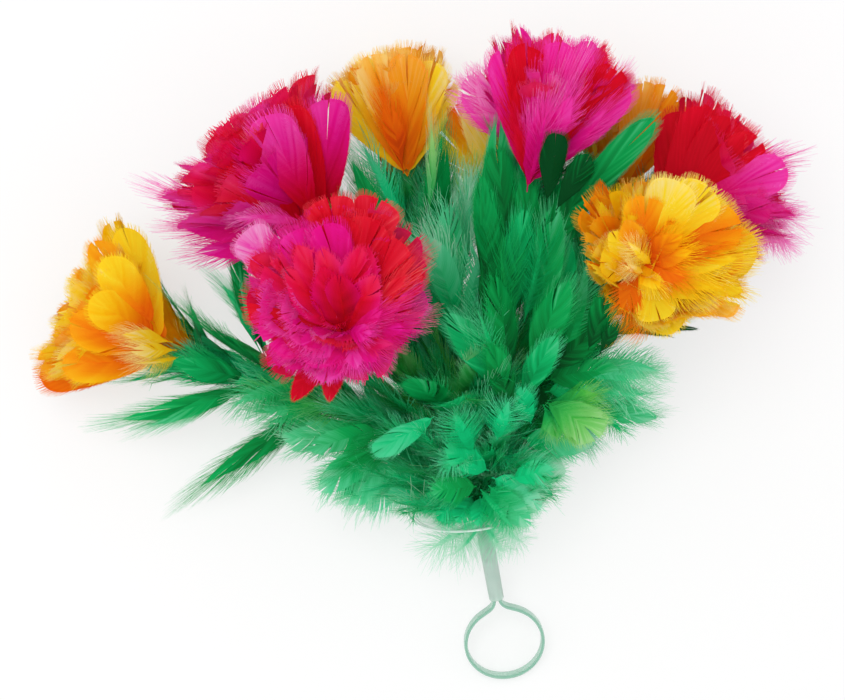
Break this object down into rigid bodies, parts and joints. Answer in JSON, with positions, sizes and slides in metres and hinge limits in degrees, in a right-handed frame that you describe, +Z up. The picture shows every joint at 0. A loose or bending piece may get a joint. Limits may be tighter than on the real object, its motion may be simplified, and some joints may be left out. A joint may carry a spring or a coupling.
{
  "type": "feather carnation bouquet",
  "caption": "Artificial bouquet of fluffy dyed-feather carnations on bent wire stems, with a clear handle tube and a finger ring, lying on a table.",
  "frame": {"origin": "on the table, under the middle of the bouquet's bounding box", "axes": "+X to the right across the fan of blooms, +Y from the finger ring to the blooms, +Z up from the table"},
  "size_m": [0.4112, 0.3496, 0.1578],
  "materials": {
    "petals_yellow": "soft dyed feather",
    "petals_orange": "soft dyed feather",
    "petals_red": "soft dyed feather",
    "petals_magenta": "soft dyed feather",
    "green_feather": "soft dyed feather",
    "down": "fluffy down",
    "wire": "painted green",
    "green_thread": "wound thread",
    "clear_tube": "clear, slightly cloudy",
    "ring_plastic": "satin, translucent"
  },
  "bodies": {
    "root": {"far_left_outer_petals": "petals_yellow", "far_left_inner_petals": "petals_orange", "far_left_wire": "wire", "far_left_leaf_wrap": "green_feather", "left_red_outer_petals": "petals_red", "left_red_inner_petals": "petals_magenta", "left_red_wire": "wire", "left_red_leaf_wrap": "green_feather", "top_left_outer_petals": "petals_orange", "top_left_inner_petals": "petals_yellow", "top_left_wire": "wire", "top_left_leaf_wrap": "green_feather", "centre_back_outer_petals": "petals_yellow", "centre_back_inner_petals": "petals_orange", "centre_back_wire": "wire", "centre_back_leaf_wrap": "green_feather", "top_red_outer_petals": "petals_red", "top_red_inner_petals": "petals_magenta", "top_red_wire": "wire", "top_red_leaf_wrap": "green_feather", "back_right_outer_petals": "petals_orange", "back_right_inner_petals": "petals_yellow", "back_right_wire": "wire", "back_right_leaf_wrap": "green_feather", "right_red_outer_petals": "petals_magenta", "right_red_inner_petals": "petals_red", "right_red_wire": "wire", "right_red_leaf_wrap": "green_feather", "right_front_outer_petals": "petals_yellow", "right_front_inner_petals": "petals_orange", "right_front_wire": "wire", "right_front_leaf_wrap": "green_feather", "front_red_outer_petals": "petals_magenta", "front_red_inner_petals": "petals_red", "front_red_wire": "wire", "front_red_leaf_wrap": "green_feather", "leaf_low_left": "green_feather", "leaf_left_tip": "green_feather", "leaf_left_upper": "green_feather", "leaf_left_inner": "green_feather", "leaf_top_left_outer": "green_feather", "leaf_top_left_inner": "green_feather", "leaf_top_red_left": "green_feather", "leaf_top_red_right": "green_feather", "leaf_right": "green_feather", "leaf_right_low": "green_feather", "leaf_low_right": "green_feather", "leaf_low_front": "green_feather", "down_tuft_1": "down", "down_tuft_2": "down", "down_tuft_3": "down", "down_tuft_4": "down", "down_tuft_5": "down", "down_tuft_6": "down", "handle_tube": "clear_tube", "clear_collar": "clear_tube", "thread_binding": "green_thread", "finger_ring": "ring_plastic"}
  },
  "joints": []
}
